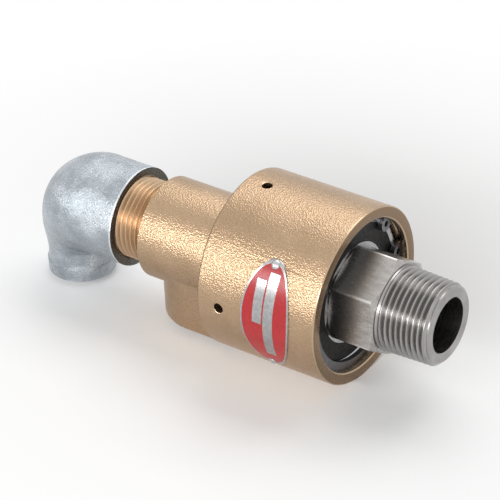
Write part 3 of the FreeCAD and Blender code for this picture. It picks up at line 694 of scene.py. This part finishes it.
# %% Turned metal
def turned_metal(name, dark, light, roughness, depth=0.012, thread=None, groove_shade=None):
    """Colour is led by 0.4 of the rings, which are noise on (station, distance from the axis), 0.4 of the
    streaks and 0.2 of the stains. A thread is the last four values for the painted shade in its grooves,
    with the colour of that painted shade."""
    material, tree, shader, place = new_finish(name, light, roughness, 1.0)
    radius, along = from_axis(tree, place)
    rings_at = tree.nodes.new("ShaderNodeCombineXYZ")
    tree.links.new(along, rings_at.inputs[0])
    tree.links.new(radius, rings_at.inputs[1])
    rings = noise(tree, rings_at.outputs[0], 2.6, detail=6, roughness=0.7)
    streaks = noise(tree, stretched(tree, place, (1.6, 0.12, 0.12)), 0.8, detail=5, roughness=0.65)
    stain = noise(tree, place, 0.16, detail=4)
    tone = mixed(tree, rings, 0.4, streaks, 0.4)
    tone = combine(tree, "ADD", tone, combine(tree, "MULTIPLY", stain, 0.2))
    colour = shade(tree, tone, dark, light, 0.35, 0.65)
    if thread:
        # Painted shade darkens the thread's grooves.
        colour = blend_colours(tree, painted_groove_shade(tree, radius, along, *thread), colour, groove_shade)
    tree.links.new(colour, shader.inputs["Base Color"])
    tree.links.new(spread(tree, tone, roughness + 0.08, roughness - 0.06), shader.inputs["Roughness"])
    bump(tree, shader, combine(tree, "ADD", rings, streaks), depth)
    return material


print("turned metal has rings, streaks and stains")


# %% Faces of the hexagon
def on_hexagon(piece):
    """Ground steel for the faces whose middle lies between the hexagon's ends and off the shaft."""
    count = len(piece.data.polygons)
    middles = np.empty(count * 3)
    piece.data.polygons.foreach_get("center", middles)
    middles = middles.reshape(-1, 3)
    radius = np.hypot(middles[:, 1], middles[:, 2])
    flats = (middles[:, 0] < HEX_FRONT - EDGE) & (middles[:, 0] > HEX_BACK) & (radius > SHAFT_R + 1 * MM)
    piece.data.polygons.foreach_set("material_index", flats.astype(np.int32))
    print(flats.sum(), "ground faces")


# %% Turned finishes
ROTOR_THREAD = (TIP_R / MM, TAPER, HEX_FRONT / MM, TIP_BEVEL_END / MM)
NIPPLE_THREAD = (NIPPLE_R / MM, 0.0, NIPPLE_BACK / MM, NECK_END / MM)
# The colour given for a thread's grooves is painted shade.
STEEL = turned_metal("turned_stainless", (0.27, 0.258, 0.25), (0.46, 0.444, 0.436), 0.25,
                     thread=ROTOR_THREAD, groove_shade=(0.17, 0.162, 0.155))
GROUND = ground_steel()
NIPPLE_BRONZE = turned_metal("turned_bronze", (0.52, 0.365, 0.23), (0.72, 0.53, 0.36), 0.34, depth=0.008,
                             thread=NIPPLE_THREAD, groove_shade=(0.44, 0.3, 0.185))
RING_STEEL = turned_metal("ground_bearing_steel", (0.36, 0.36, 0.37), (0.52, 0.52, 0.53), 0.22, depth=0.003)
PLAIN_STEEL = turned_metal("plain_turned_steel", (0.42, 0.42, 0.43), (0.62, 0.62, 0.63), 0.28)
SEAT_STEEL = turned_metal("lapped_seat_steel", (0.38, 0.38, 0.4), (0.55, 0.55, 0.58), 0.15, depth=0.002)
SPRING_STEEL = turned_metal("dark_spring_steel", (0.1, 0.1, 0.105), (0.26, 0.26, 0.27), 0.38)
rotor.data.materials.append(STEEL)
rotor.data.materials.append(GROUND)
on_hexagon(rotor)
nipple.data.materials.append(NIPPLE_BRONZE)
print("turned finishes: 6, and one ground")

# %% [markdown]
# ## Galvanised iron
# The elbow is malleable iron, dipped in molten zinc. The zinc flows into a wavy skin with
# dull and bright patches, and the sand-cast surface shows through as soft lumps. Its mouth
# was sawn and its thread cut after the dip, so the rim is worn bright and the face is bare
# iron, darkened further with painted shade.

# %% Zinc
ELBOW_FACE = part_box("elbow")[1][0] / MM
WORN_LENGTH, SAWN_DEPTH = 0.9, 0.12
DULL_ZINC, BRIGHT_ZINC = (0.3, 0.335, 0.365), (0.52, 0.56, 0.6)
# The second colour is bare iron, darkened further as painted shade.
WORN_ZINC, SHADED_SAWN_IRON = (0.68, 0.71, 0.74), (0.12, 0.11, 0.092)


def zinc():
    """Height is 1.2 of the soft lumps plus a fine hammered skin that is half as high on dull patches. The
    mouth has a worn edge and a sawn face, dark from bare iron and painted shade."""
    material, tree, shader, place = new_finish("hot_dip_zinc", BRIGHT_ZINC, 0.38, 0.8)
    _, along = from_axis(tree, place)
    lumps = noise(tree, place, 0.13, detail=3, roughness=0.5)
    skin_height = noise(tree, place, 1.3, detail=4, roughness=0.72)
    patches = noise(tree, place, 0.09, detail=5, roughness=0.62)
    specks = noise(tree, place, 2.8, detail=3)
    cast = shade(tree, mixed(tree, patches, 0.7, specks, 0.3), DULL_ZINC, BRIGHT_ZINC, 0.38, 0.62)
    worn = combine(tree, "GREATER_THAN", along, ELBOW_FACE - WORN_LENGTH)
    sawn = combine(tree, "GREATER_THAN", along, ELBOW_FACE - SAWN_DEPTH)
    cast = blend_colours(tree, worn, cast, WORN_ZINC)
    # The mouth's face: bare iron with painted shade.
    tree.links.new(blend_colours(tree, sawn, cast, SHADED_SAWN_IRON), shader.inputs["Base Color"])
    tree.links.new(spread(tree, skin_height, 0.36, 0.22), shader.inputs["Roughness"])
    hammered = combine(tree, "MULTIPLY", skin_height, spread(tree, patches, 0.5, 1.0, 0.4, 0.6))
    height = combine(tree, "ADD", combine(tree, "MULTIPLY", lumps, 1.2), hammered)
    bump(tree, shader, height, 0.42)
    return material


ZINC = zinc()
copies["elbow"].data.materials.append(ZINC)
print("elbow:", ZINC.name)

# %% [markdown]
# ## Rubber, carbon and plastic
# The bearing shields are black rubber with a dusting of grease, the seal ring is lapped
# carbon and the cages are moulded. All are soft noise on a dull, non-metallic shader.

# %% Dull finishes
def dull(name, dark, light, roughness, sheen=0.5):
    """Mottled colour and roughness with a given share of the usual surface reflection."""
    material, tree, shader, place = new_finish(name, light, roughness, 0.0)
    shader.inputs["Specular IOR Level"].default_value = sheen
    mottle = noise(tree, place, 0.9, detail=5)
    tree.links.new(shade(tree, mottle, dark, light), shader.inputs["Base Color"])
    tree.links.new(spread(tree, mottle, roughness + 0.12, roughness - 0.1), shader.inputs["Roughness"])
    bump(tree, shader, mottle, 0.02)
    return material


RUBBER = dull("black_rubber", (0.005, 0.005, 0.005), (0.016, 0.015, 0.014), 0.42, sheen=0.2)
CARBON = dull("lapped_carbon", (0.02, 0.02, 0.022), (0.05, 0.05, 0.053), 0.35)
CAGE = dull("moulded_cage", (0.55, 0.48, 0.34), (0.72, 0.65, 0.5), 0.45)
print("dull finishes: 3")

# %% Finish of each bearing and seal piece
for node, piece in copies.items():
    if piece.data.materials:
        continue
    if "shield" in node or "o_ring" in node:
        piece.data.materials.append(RUBBER)
    elif "cage" in node:
        piece.data.materials.append(CAGE)
    elif node == "floating_seal_ring":
        piece.data.materials.append(CARBON)
    elif node == "seal_seat":
        piece.data.materials.append(SEAT_STEEL)
    elif "circlip" in node or "spring" in node:
        piece.data.materials.append(SPRING_STEEL)
    elif "spacer" in node or "pins" in node or "rivets" in node:
        piece.data.materials.append(PLAIN_STEEL)
    elif "bearing" in node:
        piece.data.materials.append(RING_STEEL)
print("bare copies:", [n for n, p in copies.items() if not p.data.materials])

# %% [markdown]
# ## Nameplate
# The plate is etched aluminium with red enamel, a bright rim and two bare fields for data.
# It is bent round the casing and leans a little. The material measures the plate along and
# across, by that lean, and draws the rim as an oval and the fields as boxes.

# %% Plate measures
# In millimetres, from the middle of the plate. A field is (left, right, low, high).
PLATE_X = -58.75
PLATE_TURN = np.radians(3.3)
PLATE_LEAN = np.radians(1.7)
PLATE_R = BODY_R / MM + 0.25
PLATE_HALF_WIDTH = 10.8
PLATE_HALF_LENGTH = 25.3
RIM_START = 0.86
RIGHT_FIELD = (-0.6, 3.75, -16.6, 20.0)
LEFT_FIELD = (-5.35, -1.2, -1.75, 16.3)
print("plate centre at", round(PLATE_X, 1), "mm")


# %% Where on the plate
def box_field(tree, across, along, left, right, low, high):
    """1 inside a box in the plate's own directions."""
    share = 1.0
    for value, limit, side in ((across, left, "GREATER_THAN"), (across, right, "LESS_THAN"),
                               (along, low, "GREATER_THAN"), (along, high, "LESS_THAN")):
        share = combine(tree, "MULTIPLY", share, combine(tree, side, value, limit))
    return share


def on_plate(tree, place):
    """Millimetres across and along the bent plate. Upward is its radius times the angle round the axis,
    sideways is the station, both from its middle, and the lean turns them."""
    parts = tree.nodes.new("ShaderNodeSeparateXYZ")
    tree.links.new(place, parts.inputs[0])
    sideways = combine(tree, "SUBTRACT", parts.outputs["X"], PLATE_X)
    out = combine(tree, "MULTIPLY", parts.outputs["Y"], -1.0)
    swing = combine(tree, "SUBTRACT", combine(tree, "ARCTAN2", parts.outputs["Z"], out), float(PLATE_TURN))
    upward = combine(tree, "MULTIPLY", swing, PLATE_R)
    sine, cosine = float(np.sin(PLATE_LEAN)), float(np.cos(PLATE_LEAN))
    across = mixed(tree, sideways, cosine, upward, -sine)
    along = mixed(tree, upward, cosine, sideways, sine)
    return across, along


print("plate leans", round(np.degrees(PLATE_LEAN), 1), "degrees")


# %% Plate enamel
DARK_RED, BRIGHT_RED = (0.38, 0.011, 0.015), (0.5, 0.02, 0.024)
DARK_SILVER, BRIGHT_SILVER = (0.34, 0.34, 0.345), (0.48, 0.48, 0.48)


def enamel():
    """Silver in the fields and on the rim, where (across / half width) squared + (along / half length)
    squared is near 1."""
    material, tree, shader, place = new_finish("enamelled_plate", BRIGHT_RED, 0.32, 0.0)
    across, along = on_plate(tree, place)
    oval = combine(tree, "ADD", squared(tree, combine(tree, "DIVIDE", across, PLATE_HALF_WIDTH)),
                   squared(tree, combine(tree, "DIVIDE", along, PLATE_HALF_LENGTH)))
    rim = combine(tree, "GREATER_THAN", oval, RIM_START)
    fields = combine(tree, "MAXIMUM", box_field(tree, across, along, *RIGHT_FIELD),
                     box_field(tree, across, along, *LEFT_FIELD))
    bare = combine(tree, "MAXIMUM", fields, rim)
    mottle = noise(tree, place, 0.7, detail=5)
    red = shade(tree, mottle, DARK_RED, BRIGHT_RED)
    silver = shade(tree, mottle, DARK_SILVER, BRIGHT_SILVER)
    tree.links.new(blend_colours(tree, bare, red, silver), shader.inputs["Base Color"])
    tree.links.new(spread(tree, bare, 0.0, 1.0, 0, 1), shader.inputs["Metallic"])
    tree.links.new(spread(tree, bare, 0.3, 0.26, 0, 1), shader.inputs["Roughness"])
    height = combine(tree, "ADD", bare, combine(tree, "MULTIPLY", mottle, 0.2))
    bump(tree, shader, height, 0.05)
    return material


ENAMEL = enamel()
copies["nameplate"].data.materials.append(ENAMEL)
print("nameplate:", ENAMEL.name)

# %% [markdown]
# ## Floor and light
# The photograph has a plain white ground, a long soft lamp at the left and an even light
# from above and behind. The floor is white paper that keeps the object's own soft shadow.
# Further out it fades to plain white, so that it meets a white sky with no line. A long
# low lamp draws the bright band along the casing. What lights dull surfaces from below is
# less than the eye sees of the floor, as from a table some way down. That and the shadow
# darken the lower flank of the casing.

# %% Floor
FLOOR_HALF = 3.0
FADE_X, FADE_START, FADE_END = -0.08, 0.08, 0.24
NEAR_PAPER, FAR_PAPER, DULL_PAPER = (0.95, 0.95, 0.95), (0.0, 0.0, 0.0), (0.4, 0.4, 0.4)
NEAR_GLOW, FAR_GLOW = 0.08, 1.0


def seen_directly(tree):
    """1 for rays from the camera, off a shiny surface or through a clear one."""
    rays = tree.nodes.new("ShaderNodeLightPath")
    seen = combine(tree, "MAXIMUM", rays.outputs["Is Camera Ray"], rays.outputs["Is Glossy Ray"])
    return combine(tree, "MAXIMUM", seen, rays.outputs["Is Transmission Ray"])


def paper():
    """Diffuse paper gives way to an even glow as the distance from the object, sqrt(x x + y y), grows."""
    material = bpy.data.materials.new("white_paper")
    material.use_nodes = True
    tree = material.node_tree
    shader = tree.nodes["Principled BSDF"]
    parts = tree.nodes.new("ShaderNodeSeparateXYZ")
    tree.links.new(tree.nodes.new("ShaderNodeTexCoord").outputs["Object"], parts.inputs[0])
    along = combine(tree, "SUBTRACT", parts.outputs["X"], FADE_X)
    away = combine(tree, "ADD", squared(tree, along), squared(tree, parts.outputs["Y"]))
    away = spread(tree, combine(tree, "SQRT", away), 0.0, 1.0, FADE_START, FADE_END)
    seen = seen_directly(tree)
    colour = blend_colours(tree, away, NEAR_PAPER, FAR_PAPER)
    tree.links.new(blend_colours(tree, seen, DULL_PAPER, colour), shader.inputs["Base Color"])
    glow = combine(tree, "MULTIPLY", seen, spread(tree, away, NEAR_GLOW, FAR_GLOW, 0, 1))
    tree.links.new(glow, shader.inputs["Emission Strength"])
    shader.inputs["Emission Color"].default_value = (1, 1, 1, 1)
    shader.inputs["Roughness"].default_value = 0.95
    shader.inputs["Specular IOR Level"].default_value = 0.0
    return material


def make_floor():
    """A square of paper under the casing's lowest line."""
    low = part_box("body_casting")[0][2]
    points = np.array([(-1, -1, 0), (1, -1, 0), (1, 1, 0), (-1, 1, 0)]) * FLOOR_HALF + (0, 0, low)
    mesh = bpy.data.meshes.new("floor")
    mesh.from_pydata(points, [], [(0, 1, 2, 3)])
    mesh.materials.append(paper())
    floor = bpy.data.objects.new("floor", mesh)
    bpy.context.scene.collection.objects.link(floor)
    return floor


floor = make_floor()
print("floor at", round(floor.data.vertices[0].co.z / MM, 2), "mm")


# %% Sky
DULL_SKY, SEEN_SKY = 0.25, 1.0


def make_sky():
    """A dome that is white to the eye and in reflections, and lights dull surfaces at a quarter of that."""
    world = bpy.data.worlds.new("studio")
    bpy.context.scene.world = world
    world.use_nodes = True
    tree = world.node_tree
    ground = tree.nodes["Background"]
    ground.inputs["Color"].default_value = (1, 1, 1, 1)
    strength = spread(tree, seen_directly(tree), DULL_SKY, SEEN_SKY, 0, 1)
    tree.links.new(strength, ground.inputs["Strength"])


make_sky()
print("sky at", SEEN_SKY, "to the eye and", DULL_SKY, "to dull surfaces")


# %% Where a lamp or a camera looks
def facing(place, back, roll=0.0):
    """The matrix of something at a place whose Z points back. X starts level and turns by roll, with Y."""
    back = np.array(back) / np.linalg.norm(back)
    side = np.cross((0, 0, 1), back)
    side /= np.linalg.norm(side)
    up = np.cross(back, side)
    side, up = side * np.cos(roll) + up * np.sin(roll), up * np.cos(roll) - side * np.sin(roll)
    turn_matrix = Matrix([[side[i], up[i], back[i]] for i in range(3)]).to_4x4()
    return Matrix.Translation(place) @ turn_matrix


# %% Lamps
LAMP_AIM = np.array((-0.08, 0.0, 0.0))


def softbox(name, toward, distance, size, power):
    """A rectangular lamp that hangs in a direction from the middle of the object and faces it."""
    lamp = bpy.data.lights.new(name, "AREA")
    lamp.shape = "RECTANGLE"
    lamp.size, lamp.size_y = size
    lamp.energy = power
    direction = np.array(toward) / np.linalg.norm(toward)
    item = bpy.data.objects.new(name, lamp)
    item.matrix_world = facing(LAMP_AIM + direction * distance, direction)
    bpy.context.scene.collection.objects.link(item)
    print(name, power, "W at", np.round(direction * distance, 2))


softbox("key", toward=(0.0, -0.93, 0.36), distance=0.95, size=(1.8, 0.17), power=10.5)
softbox("overhead", toward=(0.0, 0.6, 1.0), distance=1.0, size=(1.1, 0.6), power=5.2)

# %% [markdown]
# ## Camera
# The photograph gives no lens or place. Both were found by fitting the outlines of the CAD
# to the photograph: a camera more than a metre away, with a long lens, about 34 degrees
# above the horizontal, in front of the rotor's end and rolled a little.

# %% Camera
PICTURE_WIDTH = 500
FOCAL_PIXELS = 2817.135
SENSOR_WIDTH = 36
CAMERA_PLACE = (0.4421918, -0.7285787, 0.6169134)
CAMERA_TURN = np.radians(-53.866285)
CAMERA_HEIGHT = np.radians(34.257323)
CAMERA_ROLL = np.radians(-2.853379)


def make_camera():
    """The lens is focal pixels over the picture's width times the sensor's width. Back is the direction of
    the camera as seen from the object, from its height and turn."""
    camera = bpy.data.cameras.new("photograph")
    camera.sensor_width = SENSOR_WIDTH
    camera.lens = FOCAL_PIXELS / PICTURE_WIDTH * SENSOR_WIDTH
    camera.clip_start, camera.clip_end = 0.1, 20
    level = np.cos(CAMERA_HEIGHT)
    back = (level * np.cos(CAMERA_TURN), level * np.sin(CAMERA_TURN), np.sin(CAMERA_HEIGHT))
    item = bpy.data.objects.new("photograph", camera)
    item.matrix_world = facing(CAMERA_PLACE, back, CAMERA_ROLL)
    bpy.context.scene.collection.objects.link(item)
    bpy.context.scene.camera = item
    return item


camera = make_camera()
bpy.context.scene.view_settings.view_transform = "Standard"
print("lens", round(camera.data.lens, 1), "mm")
